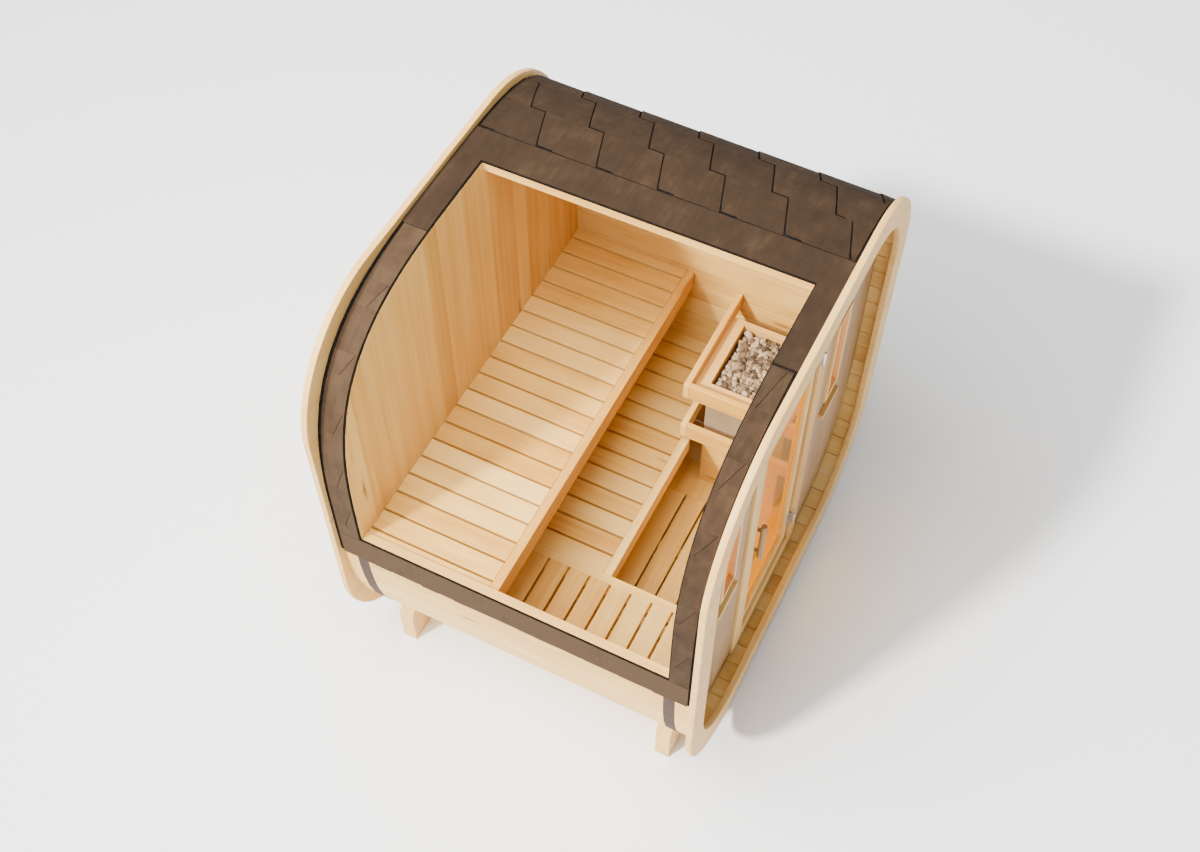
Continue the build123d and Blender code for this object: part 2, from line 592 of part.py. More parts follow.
# Guard: two levels of rails round the heater, from the right wall to the door wall.
for guard_name, guard_z in (("guard_upper_rail", GUARD_UPPER_Z), ("guard_lower_rail", GUARD_LOWER_Z)):
    guard_reach = inner_half_width(guard_z - GUARD_HEIGHT) - BENCH_WALL_GAP
    with BuildPart() as guard_rail:
        with BuildSketch(Plane.XY.offset(guard_z)):
            with Locations(((GUARD_X + guard_reach) / 2, GUARD_Y - GUARD_BOARD / 2)):
                Rectangle(guard_reach - GUARD_X, GUARD_BOARD)
            with Locations((GUARD_X + GUARD_BOARD / 2, (GUARD_Y + WALL_INNER_FRONT_Y) / 2)):
                Rectangle(GUARD_BOARD, GUARD_Y - WALL_INNER_FRONT_Y)
        extrude(amount=-GUARD_HEIGHT)
    export_piece(guard_rail, guard_name)

# Steel straps that hold the staves, from one shingle edge under the cabin to the other.
for strap_name, strap_y in (("front_strap", -STRAP_Y), ("back_strap", STRAP_Y)):
    with BuildPart() as strap:
        with BuildSketch(Plane.XZ.offset(-strap_y - STRAP_WIDTH / 2)):
            with BuildLine():
                Polyline(*skin_outline(left_edge_angle, 360 + right_edge_angle,
                                       stave_inset - STRAP_THICKNESS, stave_inset))
            make_face()
        extrude(amount=STRAP_WIDTH)
    export_piece(strap, strap_name)

# Feet: two cross bearers cut to the round of the skin, with chamfered ends.
for foot_name, foot_y in (("front_foot", -FOOT_Y), ("back_foot", FOOT_Y)):
    with BuildPart() as foot:
        with BuildSketch(Plane.XZ.offset(-foot_y - FOOT_THICKNESS / 2)):
            with BuildLine():
                Polyline((-FOOT_HALF_LENGTH, 0), (FOOT_HALF_LENGTH, 0), (FOOT_HALF_LENGTH, FOOT_END_HEIGHT),
                         (FOOT_HALF_LENGTH - FOOT_CHAMFER, FOOT_END_HEIGHT + FOOT_CHAMFER),
                         (-FOOT_HALF_LENGTH + FOOT_CHAMFER, FOOT_END_HEIGHT + FOOT_CHAMFER),
                         (-FOOT_HALF_LENGTH, FOOT_END_HEIGHT), close=True)
            make_face()
            with BuildLine():
                Polyline(*skin_points(90, 450, stave_inset - STRAP_THICKNESS)[:-1], close=True)
            make_face(mode=Mode.SUBTRACT)
        extrude(amount=FOOT_THICKNESS)
    export_piece(foot, foot_name)
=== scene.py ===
import math
import random

import bpy
from mathutils import Matrix, Vector


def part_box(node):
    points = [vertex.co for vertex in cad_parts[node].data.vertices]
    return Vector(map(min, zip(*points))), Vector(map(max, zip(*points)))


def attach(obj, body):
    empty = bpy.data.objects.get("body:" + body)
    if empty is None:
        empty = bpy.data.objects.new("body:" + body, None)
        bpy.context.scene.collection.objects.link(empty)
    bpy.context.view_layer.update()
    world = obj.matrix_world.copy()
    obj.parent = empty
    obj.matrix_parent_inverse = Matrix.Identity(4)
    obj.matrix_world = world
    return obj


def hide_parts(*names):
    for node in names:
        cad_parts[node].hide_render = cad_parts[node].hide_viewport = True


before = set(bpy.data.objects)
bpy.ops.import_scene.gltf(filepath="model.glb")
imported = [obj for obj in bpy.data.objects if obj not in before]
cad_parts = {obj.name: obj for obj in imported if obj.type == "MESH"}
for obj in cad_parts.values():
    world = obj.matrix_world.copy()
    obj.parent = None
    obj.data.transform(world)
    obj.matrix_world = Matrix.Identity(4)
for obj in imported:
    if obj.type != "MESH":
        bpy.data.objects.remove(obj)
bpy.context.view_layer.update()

# Cross feet: two sawn spruce bearers under the cabin, cut to the round of the staves and chamfered at
# their ends. The staves rest in them and the whole cabin stands on their flat undersides.
bpy.ops.object.select_all(action="DESELECT")
chance = random.Random(7)


class Signal:
    """One number that runs through a finish; Python's operators on it add Math nodes."""

    def __init__(self, finish, socket):
        self.finish = finish
        self.socket = socket

    def math(self, operation, first, second):
        return self.finish.add("ShaderNodeMath", {"operation": operation}, {0: first, 1: second}, "Value")

    def __add__(self, other): return self.math("ADD", self, other)
    def __radd__(self, other): return self.math("ADD", other, self)
    def __sub__(self, other): return self.math("SUBTRACT", self, other)
    def __rsub__(self, other): return self.math("SUBTRACT", other, self)
    def __mul__(self, other): return self.math("MULTIPLY", self, other)
    def __rmul__(self, other): return self.math("MULTIPLY", other, self)

    def between(self, low, high):
        """Where this number lies between two others, from 0 to 1."""
        return self.finish.add("ShaderNodeMapRange", {"clamp": True},
                               {"Value": self, "From Min": low, "From Max": high}, "Result")


class Finish:
    """A material under construction, with one Principled shader."""

    def __init__(self, name, **steady):
        self.material = bpy.data.materials.new(name)
        self.material.use_nodes = True
        self.tree = self.material.node_tree
        self.shader = self.tree.nodes["Principled BSDF"]
        for socket, value in steady.items():
            self.shader.inputs[socket.replace("_", " ")].default_value = value

    def add(self, kind, settings, sockets, output):
        node = self.tree.nodes.new(kind)
        for key, value in settings.items():
            if key == "stops":
                ramp = node.color_ramp
                while len(ramp.elements) < len(value):
                    ramp.elements.new(0.5)
                for element, (place, colour) in zip(ramp.elements, value):
                    element.position = place
                    element.color = (*colour, 1)
            else:
                setattr(node, key, value)
        for key, value in sockets.items():
            self.feed(node.inputs[key], value)
        return Signal(self, node.outputs[output])

    def feed(self, socket, value):
        if isinstance(value, Signal):
            self.tree.links.new(value.socket, socket)
        else:
            socket.default_value = value

    def set(self, socket, value):
        self.feed(self.shader.inputs[socket], value)

    def attribute(self, name, output="Vector"):
        return self.add("ShaderNodeAttribute", {"attribute_name": name}, {}, output)

    def place(self, vector, scale):
        return self.add("ShaderNodeMapping", {}, {"Vector": vector, "Scale": scale}, "Vector")

    def noise(self, vector, scale, detail=3.0, roughness=0.55, distortion=0.0):
        return self.add("ShaderNodeTexNoise", {}, {"Vector": vector, "Scale": scale, "Detail": detail,
                        "Roughness": roughness, "Distortion": distortion}, "Fac")

    def ramp(self, factor, *stops):
        return self.add("ShaderNodeValToRGB", {"stops": stops}, {"Fac": factor}, "Color")

    def blend(self, factor, first, second):
        return self.add("ShaderNodeMix", {"data_type": "RGBA"}, {0: factor, 6: first, 7: second}, 2)

    def bump(self, height, strength, distance):
        sockets = {"Height": height, "Strength": strength, "Distance": distance}
        self.set("Normal", self.add("ShaderNodeBump", {}, sockets, "Normal"))


def wood_finish(name, pale, mid, dark, knots=0.6, roughness=0.55, tones=0.3):
    """Planed spruce: long growth rings along the board, a tone for each board, and a few knots."""
    finish = Finish(name, Roughness=roughness)
    grain = finish.attribute("grain")
    tone = finish.attribute("tone", "Fac")
    rings = finish.noise(finish.place(grain, (0.7, 9.0, 9.0)), 2.4, 3.0, 0.5, 0.6)
    lines = finish.noise(finish.place(grain, (1.1, 60.0, 60.0)), 2.2, 2.0, 0.6, 0.2)
    patch = finish.noise(finish.place(grain, (1.0, 2.2, 2.2)), 3.0, 2.0)
    figure = rings * 0.45 + lines * 0.25 + patch * 0.3 + (tone - 0.5) * tones
    colour = finish.ramp(figure, (0.28, pale), (0.5, mid), (0.74, dark))
    spots = finish.add("ShaderNodeTexVoronoi", {},
                       {"Vector": finish.place(grain, (1.5, 7.0, 7.0)), "Scale": 1.3}, "Distance")
    rare = finish.noise(finish.place(grain, (0.9, 4.0, 4.0)), 1.1, 1.0).between(0.5, 0.56)
    knot = (1 - spots.between(0.03, 0.13)) * rare * knots
    knot_colour = (dark[0] * 0.45, dark[1] * 0.33, dark[2] * 0.25, 1)
    finish.set("Base Color", finish.blend(knot, colour, knot_colour))
    finish.set("Roughness", roughness + (lines - 0.5) * 0.18)
    finish.bump(lines * 0.7 + knot * 0.3, 0.35, 0.0008)
    return finish.material


pale_spruce = wood_finish("pale_spruce", (0.76, 0.50, 0.17), (0.68, 0.395, 0.11), (0.55, 0.26, 0.055), tones=0.25)
THINNEST_SHARE = 0.3
masters = {}


def stick_master(size, bevel):
    """A planed stick at the origin, its length along X, made once for each size."""
    key = tuple(round(value, 4) for value in (*size, bevel))
    if key not in masters:
        bpy.ops.mesh.primitive_cube_add(size=1)
        stick = bpy.context.object
        bpy.ops.object.mode_set(mode="EDIT")
        bpy.ops.transform.resize(value=size)
        bpy.ops.mesh.bevel(offset=bevel, segments=2, affect="EDGES")
        bpy.ops.object.mode_set(mode="OBJECT")
        mesh = stick.data
        mesh.attributes.new("grain", "FLOAT_VECTOR", "POINT")
        mesh.attributes.new("tone", "FLOAT", "POINT")
        bpy.data.objects.remove(stick)
        masters[key] = mesh
    return masters[key]


TURNS = {"X": Matrix.Identity(4),
         "Y": Matrix(((0, -1, 0, 0), (1, 0, 0, 0), (0, 0, 1, 0), (0, 0, 0, 1))),
         "Z": Matrix(((0, 0, -1, 0), (0, 1, 0, 0), (1, 0, 0, 0), (0, 0, 0, 1)))}


def mark_grain(mesh, tone=None, along="X"):
    """Writes where each point lies in its own board, shifted by chance, and the board's tone."""
    shift = Vector((chance.uniform(0, 9), chance.uniform(0, 9), chance.uniform(0, 9)))
    back = TURNS[along].to_3x3().inverted()
    tone = chance.random() if tone is None else tone
    for name, kind in (("grain", "FLOAT_VECTOR"), ("tone", "FLOAT")):
        if name not in mesh.attributes:
            mesh.attributes.new(name, kind, "POINT")
    grain = mesh.attributes["grain"].data
    tones = mesh.attributes["tone"].data
    for point in mesh.vertices:
        grain[point.index].vector = back @ point.co + shift
        tones[point.index].value = tone


def stick(low, high, along, bevel=0.002, bend=None):
    """A stick between two corners, its grain along one axis; bend moves its points, if given."""
    low, high = Vector(low), Vector(high)
    size = high - low
    turned = {"X": (size.x, size.y, size.z), "Y": (size.y, size.x, size.z), "Z": (size.z, size.y, size.x)}[along]
    mesh = stick_master(turned, min(bevel, THINNEST_SHARE * min(turned))).copy()
    mark_grain(mesh)
    mesh.transform(TURNS[along])
    mesh.transform(Matrix.Translation((low + high) / 2))
    if bend:
        for point in mesh.vertices:
            point.co = bend(point.co)
    stick_object = bpy.data.objects.new("stick", mesh)
    bpy.context.collection.objects.link(stick_object)
    return stick_object


def make_piece(name, parts, finish, nodes, body="cabin"):
    """Joins parts into one named piece that stands for its CAD nodes."""
    bpy.ops.object.select_all(action="DESELECT")
    for part in parts:
        part.select_set(True)
    bpy.context.view_layer.objects.active = parts[0]
    if len(parts) > 1:
        bpy.ops.object.join()
    piece = bpy.context.object
    piece.name = name
    piece.data.name = name
    piece.data.materials.clear()
    piece.data.materials.append(finish)
    bpy.ops.object.select_all(action="DESELECT")
    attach(piece, body)
    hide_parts(*nodes)
    return piece


MERGE_DISTANCE = 0.00005
FLAT_ANGLE = 0.5
SHARP_ANGLE = 50


def dressed_copy(node, along, bevel=0.002, tone=None):
    """A copy of a CAD node's mesh, merged, with softened edges and its grain along one axis."""
    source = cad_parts[node]
    copy = bpy.data.objects.new("copy_" + node, source.data.copy())
    bpy.context.collection.objects.link(copy)
    bpy.ops.object.select_all(action="DESELECT")
    copy.select_set(True)
    bpy.context.view_layer.objects.active = copy
    bpy.ops.object.mode_set(mode="EDIT")
    bpy.ops.mesh.select_all(action="SELECT")
    bpy.ops.mesh.remove_doubles(threshold=MERGE_DISTANCE)
    bpy.ops.mesh.dissolve_limited(angle_limit=math.radians(FLAT_ANGLE))
    bpy.ops.object.mode_set(mode="OBJECT")
    if bevel:
        soften = copy.modifiers.new("soften", "BEVEL")
        soften.width = bevel
        soften.segments = 2
        soften.limit_method = "ANGLE"
        soften.angle_limit = math.radians(SHARP_ANGLE)
        bpy.ops.object.modifier_apply(modifier="soften")
    mark_grain(copy.data, tone, along)
    return copy


for foot in ("front_foot", "back_foot"):
    make_piece(foot + "_bearer", [dressed_copy(foot, "X", 0.003, 0.35)], pale_spruce, [foot])

# Staves: 68 spruce boards laid front to back, each bevelled along its edges so that they close into a
# rounded square. They are full length below the opening, and short ones form a hoop at each end of it.
CENTRE_Z = 1.117
SKIN_WIDTH = 0.992
SKIN_HEIGHT = 1.036
LEFT_SHOULDER = 3.29
RIGHT_SHOULDER = 4.3
BELLY = 3.65
SHINGLE = 0.006
STAVE = 0.041
STAVE_COUNT = 68
STAVE_GAP = 0.0014
STAVE_BEVEL = 0.0026
SLIVER = 0.002
CUT_RIGHT_ANGLE = 88.76
CUT_LEFT_ANGLE = 180.6
TENTHS = 3600
SKIN_END_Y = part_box("floor_staves")[1].y
CUT_FRONT_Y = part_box("front_hoop_staves")[1].y
CUT_BACK_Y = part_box("back_hoop_staves")[0].y


def hoop_point(angle, inset=0.0):
    """A point of the skin at an angle in degrees from +X towards +Z, moved in by inset."""
    c, s = math.cos(math.radians(angle)), math.sin(math.radians(angle))
    power = BELLY if s < 0 else RIGHT_SHOULDER if c > 0 else LEFT_SHOULDER
    x = math.copysign(abs(c) ** (2 / power) * SKIN_WIDTH, c)
    z = math.copysign(abs(s) ** (2 / power) * SKIN_HEIGHT, s)
    nx = math.copysign((abs(x) / SKIN_WIDTH) ** (power - 1) / SKIN_WIDTH, x)
    nz = math.copysign((abs(z) / SKIN_HEIGHT) ** (power - 1) / SKIN_HEIGHT, z)
    length = math.hypot(nx, nz)
    return Vector((x - inset * nx / length, 0, CENTRE_Z + z - inset * nz / length))


# way[k] is how far along the skin, from the crown over the right side, angle 90 - k/10 lies.
way = [0.0]
for step in range(TENTHS):
    way.append(way[-1] + (hoop_point(90 - 0.1 * step) - hoop_point(89.9 - 0.1 * step)).length)
ROUND = way[-1]


def angle_at(distance):
    """The hoop angle at a distance from the crown, measured over the right side."""
    distance = distance % ROUND
    low, high = 0, TENTHS
    while high - low > 1:
        middle = (low + high) // 2
        if way[middle] <= distance:
            low = middle
        else:
            high = middle
    part = (distance - way[low]) / (way[high] - way[low])
    return 90 - 0.1 * (low + part)


def distance_at(angle):
    """How far from the crown, over the right side, a hoop angle lies."""
    turned = (90 - angle) % 360
    low = int(turned * 10)
    return way[low] + (way[min(low + 1, TENTHS)] - way[low]) * (turned * 10 - low)


def stave(start, end, low_y, high_y):
    """One board of the skin between two distances round it."""
    corners = [hoop_point(angle_at(distance), inset) for inset in (SHINGLE, SHINGLE + STAVE)
               for distance in (start + STAVE_GAP, end - STAVE_GAP)]
    width = (corners[1] - corners[0]).length

    def bend(point):
        across, deep = point.x / width + 0.5, 0.5 - point.z / STAVE
        outer = corners[0].lerp(corners[1], across)
        inner = corners[2].lerp(corners[3], across)
        placed = outer.lerp(inner, deep)
        return Vector((placed.x, point.y, placed.z))

    return stick((-width / 2, low_y, -STAVE / 2), (width / 2, high_y, STAVE / 2), "Y", STAVE_BEVEL, bend)


cut_right = distance_at(CUT_RIGHT_ANGLE)
cut_left = distance_at(CUT_LEFT_ANGLE)
board_width = ROUND / STAVE_COUNT
long_staves, front_staves, back_staves = [], [], []
for board in range(STAVE_COUNT):
    start, end = board * board_width, (board + 1) * board_width
    low, high = max(start, cut_right), min(end, cut_left)
    if high > low + SLIVER:
        long_staves.append(stave(low, high, -SKIN_END_Y, SKIN_END_Y))
    for low, high in ((start, min(end, cut_right)), (max(start, cut_left), end)):
        if high > low + SLIVER:
            front_staves.append(stave(low, high, -SKIN_END_Y, CUT_FRONT_Y))
            back_staves.append(stave(low, high, CUT_BACK_Y, SKIN_END_Y))
room_spruce = wood_finish("room_spruce", (0.79, 0.54, 0.18), (0.72, 0.435, 0.11), (0.55, 0.28, 0.05),
                          knots=0.95, tones=0.25)
make_piece("long_staves", long_staves, room_spruce,
           ["floor_staves", "left_staves", "right_staves", "roof_staves"])
make_piece("front_hoop", front_staves, room_spruce, ["front_hoop_staves"])
make_piece("back_hoop", back_staves, room_spruce, ["back_hoop_staves"])

# End walls: upright tongued boards that stand inside the skin, 40 mm thick. The front wall leaves room
# for the door and two narrow windows, so its boards stop short there. Thin faces on the back wall's
# boards run on over the ends of the short staves.
WALL_BOARD = 0.096
WALL_HALF_WIDTH = 0.94
WALL_GAP = 0.0006
WALL_BEVEL = 0.0016
WALL_CLEARANCE = 0.001
FACE_PROUD = 0.0015
FACE_SUNK = 0.001
front_low, front_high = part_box("front_wall_left")
WALL_FACE_Y, WALL_ROOM_Y = front_low.y, front_high.y
BACK_ROOM_Y, BACK_FACE_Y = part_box("back_wall")[0].y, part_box("back_wall")[1].y
door_low = Vector((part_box("front_wall_sill")[0].x, 0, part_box("front_wall_sill")[1].z))
door_high = Vector((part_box("front_wall_sill")[1].x, 0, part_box("front_wall_top")[0].z))
window_low, window_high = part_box("right_window_frame")


def room_height(x, inset=SHINGLE + STAVE):
    """Lowest and highest point of the skin's inside, or of another depth in it, away from the middle."""
    share = min(abs(x) / (SKIN_WIDTH - inset), 1.0)
    inner_height = SKIN_HEIGHT - inset
    shoulder = RIGHT_SHOULDER if x > 0 else LEFT_SHOULDER
    sink = inner_height * (1 - share ** BELLY) ** (1 / BELLY)
    rise = inner_height * (1 - share ** shoulder) ** (1 / shoulder)
    return CENTRE_Z - sink + WALL_CLEARANCE, CENTRE_Z + rise - WALL_CLEARANCE


def wall_board(x_low, x_high, low_y, high_y, floor=None, ceiling=None, inset=SHINGLE + STAVE):
    """An upright board whose ends follow the skin, or stop at a floor or ceiling height."""
    edges = []
    for x in (x_low, x_high):
        bottom, top = room_height(x, inset)
        edges.append((bottom if floor is None else max(floor, bottom),
                      top if ceiling is None else min(ceiling, top)))
    if min(top - bottom for bottom, top in edges) < 0.01:
        return []

    def bend(point):
        across, up = (point.x - x_low) / (x_high - x_low), point.z + 0.5
        bottom = edges[0][0] + (edges[1][0] - edges[0][0]) * across
        top = edges[0][1] + (edges[1][1] - edges[0][1]) * across
        return Vector((point.x, point.y, bottom + (top - bottom) * up))

    return [stick((x_low, low_y, -0.5), (x_high, high_y, 0.5), "Z", WALL_BEVEL, bend)]


def split_range(low, high, cuts):
    """Parts a range at the cuts that lie in it."""
    stops = [low] + sorted(cut for cut in cuts if low + 0.004 < cut < high - 0.004) + [high]
    return list(zip(stops, stops[1:]))


back_boards, front_boards = [], []
half_count = int(WALL_HALF_WIDTH / WALL_BOARD)
for board in range(-half_count - 1, half_count + 1):
    start = max(board * WALL_BOARD, -WALL_HALF_WIDTH)
    end = min((board + 1) * WALL_BOARD, WALL_HALF_WIDTH)
    back_boards += wall_board(start + WALL_GAP, end - WALL_GAP, BACK_ROOM_Y, BACK_FACE_Y)
    cuts = [door_low.x, door_high.x, -window_high.x, -window_low.x, window_low.x, window_high.x]
    for low, high in split_range(start + WALL_GAP, end - WALL_GAP, cuts):
        middle = (low + high) / 2
        if door_low.x < middle < door_high.x:
            spans = [(None, door_low.z), (door_high.z, None)]
        elif window_low.x < abs(middle) < window_high.x:
            spans = [(None, window_low.z), (window_high.z, None)]
        else:
            spans = [(None, None)]
        for floor, ceiling in spans:
            front_boards += wall_board(low, high, WALL_FACE_Y, WALL_ROOM_Y, floor, ceiling)
face_edge = SKIN_WIDTH - SHINGLE - 0.002
for board in range(-half_count - 2, half_count + 2):
    start, end = max(board * WALL_BOARD, -face_edge), min((board + 1) * WALL_BOARD, face_edge)
    if end - start > 0.012:
        back_boards += wall_board(start + WALL_GAP, end - WALL_GAP, BACK_ROOM_Y - FACE_PROUD,
                                  BACK_ROOM_Y + FACE_SUNK, inset=SHINGLE)
make_piece("back_wall_boards", back_boards, room_spruce, ["back_wall"])
# The front wall boards and the door pull get a much darker spruce than the room: painted shade, for the front that
# faces away from the key light.
front_spruce_painted_shade = wood_finish("front_spruce_painted_shade", (0.44, 0.27, 0.11), (0.35, 0.20, 0.075), (0.25, 0.125, 0.04), tones=0.25)
make_piece("front_wall_boards", front_boards, front_spruce_painted_shade,
           ["front_wall_left", "front_wall_right", "front_wall_top", "front_wall_sill"])

# Trim rings: flat hoops sawn from thick spruce that cover the ends of the staves and shingles at both
# ends. Each stands proud of the shingles all round and has softened edges.
for ring in ("front_ring", "back_ring"):
    make_piece(ring + "_trim", [dressed_copy(ring, "X", 0.004, 0.3)], pale_spruce, [ring])

# Windows: two narrow fixed lights of amber glass. Each pane sits in a frame of four planed spruce
# rails let into the front wall.
# The panes glow amber by their own emission, though no lamp is behind them: painted light.
amber = Finish("amber_pane_painted_glow", Roughness=0.3, Specular_IOR_Level=0.03,
               Emission_Color=(1.0, 0.21, 0.0, 1), Emission_Strength=1.2)
amber_cloud = amber.noise(amber.add("ShaderNodeTexCoord", {}, {}, "Object"), 3.0)
amber.set("Base Color", amber.ramp(amber_cloud, (0.3, (0.16, 0.04, 0.0)), (0.7, (0.12, 0.03, 0.0))))
FRAME_WOOD = 0.022
for side in ("left", "right"):
    low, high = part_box(side + "_window_frame")
    rails = [stick((low.x, low.y, low.z), (low.x + FRAME_WOOD, high.y, high.z), "Z"),
             stick((high.x - FRAME_WOOD, low.y, low.z), (high.x, high.y, high.z), "Z"),
             stick((low.x + FRAME_WOOD, low.y, low.z), (high.x - FRAME_WOOD, high.y, low.z + FRAME_WOOD), "X"),
             stick((low.x + FRAME_WOOD, low.y, high.z - FRAME_WOOD), (high.x - FRAME_WOOD, high.y, high.z), "X")]
    make_piece(side + "_window_wood", rails, pale_spruce, [side + "_window_frame"])
    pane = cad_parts[side + "_window_pane"]
    pane.data.materials.clear()
    pane.data.materials.append(amber.material)

# Door casing and window sills: planed spruce boards nailed to the outside of the front wall. Four
# frame the doorway, and a short one lies below each window.
CASING = 0.014
CASING_WIDTH = 0.092
casing_front = WALL_FACE_Y - CASING
left, right, bottom, top = door_low.x, door_high.x, door_low.z, door_high.z
outer_bottom, outer_top = bottom - CASING_WIDTH, top + CASING_WIDTH
casing = [stick((left - CASING_WIDTH, casing_front, outer_bottom), (left, WALL_FACE_Y, outer_top), "Z"),
          stick((right, casing_front, outer_bottom), (right + CASING_WIDTH, WALL_FACE_Y, outer_top), "Z"),
          stick((left, casing_front, outer_bottom), (right, WALL_FACE_Y, bottom), "X"),
          stick((left, casing_front, top), (right, WALL_FACE_Y, outer_top), "X")]
SILL_Z = 0.99
SILL_HALF_LENGTH = 0.095
SILL_HALF_HEIGHT = 0.012
SILL_DEPTH = 0.022
for side in (-1, 1):
    middle = side * (window_low.x + window_high.x) / 2
    casing.append(stick((middle - SILL_HALF_LENGTH, WALL_FACE_Y - SILL_DEPTH, SILL_Z - SILL_HALF_HEIGHT),
                        (middle + SILL_HALF_LENGTH, WALL_FACE_Y, SILL_Z + SILL_HALF_HEIGHT), "X"))
make_piece("door_casing", casing, pale_spruce, ["front_trim"])

# Door: a light frame of stiles and rails round one tall bronze pane, hung on two steel hinges at the
# right and pulled by a round wooden handle at the left.
leaf_low, leaf_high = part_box("door_leaf")
pane_low, pane_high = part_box("door_glass")
leaf = [stick((leaf_low.x, leaf_low.y, leaf_low.z), (pane_low.x, leaf_high.y, leaf_high.z), "Z"),
        stick((pane_high.x, leaf_low.y, leaf_low.z), (leaf_high.x, leaf_high.y, leaf_high.z), "Z"),
        stick((pane_low.x, leaf_low.y, leaf_low.z), (pane_high.x, leaf_high.y, pane_low.z), "X"),
        stick((pane_low.x, leaf_low.y, pane_high.z), (pane_high.x, leaf_high.y, leaf_high.z), "X")]
make_piece("door_frame", leaf, pale_spruce, ["door_leaf"], "door")

# A faint orange emission makes the door pane glow: painted light.
bronze = Finish("bronze_pane_painted_glow", Roughness=0.03, IOR=1.05, Transmission_Weight=0.9, Specular_IOR_Level=0.02,
                Emission_Color=(1.0, 0.42, 0.0, 1), Emission_Strength=0.12)
bronze_cloud = bronze.noise(bronze.add("ShaderNodeTexCoord", {}, {}, "Object"), 2.0)
bronze.set("Base Color", bronze.ramp(bronze_cloud, (0.3, (0.64, 0.34, 0.0)), (0.7, (0.56, 0.28, 0.0))))
door_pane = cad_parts["door_glass"]
door_pane.data.materials.clear()
door_pane.data.materials.append(bronze.material)

# The door pull takes the darker front spruce: painted shade.
make_piece("door_pull", [dressed_copy("door_handle", "Z", 0.002, 0.4)], front_spruce_painted_shade,
           ["door_handle"], "door")


def metal_finish(name, colour, roughness, metallic, scratch):
    """Sheet metal with a fine cloud of wear in its colour and gloss."""
    finish = Finish(name, Metallic=metallic, Roughness=roughness, Specular_IOR_Level=0.25)
    place = finish.add("ShaderNodeTexCoord", {}, {}, "Object")
    cloud = finish.noise(place, 6.0, 4.0)
    brush = finish.noise(finish.place(place, (1.0, 1.0, 90.0)), 8.0, 2.0)
    worn, bright = (tuple(c * share for c in colour) for share in (0.86, 1.1))
    finish.set("Base Color", finish.ramp(cloud, (0.3, worn), (0.7, bright)))
    finish.set("Roughness", roughness + (brush - 0.5) * scratch)
    finish.bump(brush, 0.12, 0.0004)
    return finish.material


hinge_metal = metal_finish("hinge_metal", (0.60, 0.60, 0.61), 0.32, 1.0, 0.2)
for node, body in (("door_hinges", "door"), ("jamb_hinges", "cabin")):
    make_piece(node + "_steel", [dressed_copy(node, "Z", 0.0008)], hinge_metal, [node], body)

# Benches: planed spruce slats 90 mm wide with open gaps, screwed down to bearers under their ends. A
# long board on edge closes the front of each bench.
HALF_GAP = 0.0055
PITCH = 0.1
SLAT = 0.028
SLAT_BEVEL = 0.0025
BEARER = 0.045
BEARER_WIDTH = 0.04
SHORTEST_SLAT = 0.008
bench_spruce = wood_finish("bench_spruce", (0.80, 0.52, 0.15), (0.73, 0.425, 0.09), (0.57, 0.27, 0.035),
                           knots=0.85, tones=0.36)
upper_low, upper_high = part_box("upper_bench")


def slat_spans(low, gaps, high, half_gap=HALF_GAP):
    """Where each slat between open gaps starts and ends."""
    edges = [low] + [edge for gap in gaps for edge in (gap - half_gap, gap + half_gap)] + [high]
    return [(start, end) for start, end in zip(edges[::2], edges[1::2]) if end - start > SHORTEST_SLAT]


def bench_slats(first_gap, count, low, high):
    """Slats that run front to back over a bench's box, with gaps one pitch apart."""
    gaps = [first_gap + PITCH * k for k in range(count)]
    return [stick((start, low.y, high.z - SLAT), (end, high.y, high.z), "Y", SLAT_BEVEL)
            for start, end in slat_spans(low.x, gaps, high.x)]


upper = bench_slats(-0.911, 19, upper_low, upper_high)
for y in (upper_low.y + 0.02, upper_high.y - 0.06):
    upper.append(stick((upper_low.x + 0.03, y, upper_high.z - SLAT - BEARER),
                       (upper_high.x - 0.03, y + BEARER_WIDTH, upper_high.z - SLAT), "X"))
make_piece("upper_bench_slats", upper, bench_spruce, ["upper_bench"])

fascia_low, fascia_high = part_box("upper_fascia")
FASCIA = 0.092
fascia = [stick((fascia_low.x, fascia_low.y, fascia_high.z - FASCIA),
                (fascia_high.x, fascia_low.y + 0.04, fascia_high.z), "X", 0.004),
          stick((fascia_low.x + 0.002, fascia_low.y + 0.024, fascia_low.z),
                (fascia_high.x - 0.002, fascia_high.y, fascia_high.z - FASCIA), "X", 0.003)]
make_piece("upper_front_boards", fascia, bench_spruce, ["upper_fascia"])

lower_low, lower_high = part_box("lower_bench")
lower = bench_slats(-0.355, 13, lower_low, lower_high)
for y in (lower_low.y + 0.02, lower_high.y - 0.06):
    lower.append(stick((lower_low.x, y, lower_low.z),
                       (lower_high.x - 0.03, y + BEARER_WIDTH, lower_high.z - SLAT), "X"))
make_piece("lower_bench_slats", lower, bench_spruce, ["lower_bench"])
low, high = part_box("lower_fascia")
make_piece("lower_front_board", [stick(low, high, "X", 0.004)], bench_spruce, ["lower_fascia"])

side_low, side_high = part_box("side_bench")
side_gaps = [0.094 - PITCH * k for k in range(6, -3, -1)]
side_slats = [stick((side_low.x, start, side_high.z - SLAT), (side_high.x, end, side_high.z), "X", SLAT_BEVEL)
              for start, end in slat_spans(side_low.y, side_gaps, side_high.y)]
for x in (side_high.x - 0.04, side_low.x + 0.06):
    side_slats.append(stick((x, side_low.y, side_low.z), (x + BEARER_WIDTH, side_high.y, side_high.z - SLAT), "Y"))
make_piece("side_bench_slats", side_slats, bench_spruce, ["side_bench"])
low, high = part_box("side_rail")
make_piece("side_front_board", [stick(low, high, "Y", 0.004)], bench_spruce, ["side_rail"])

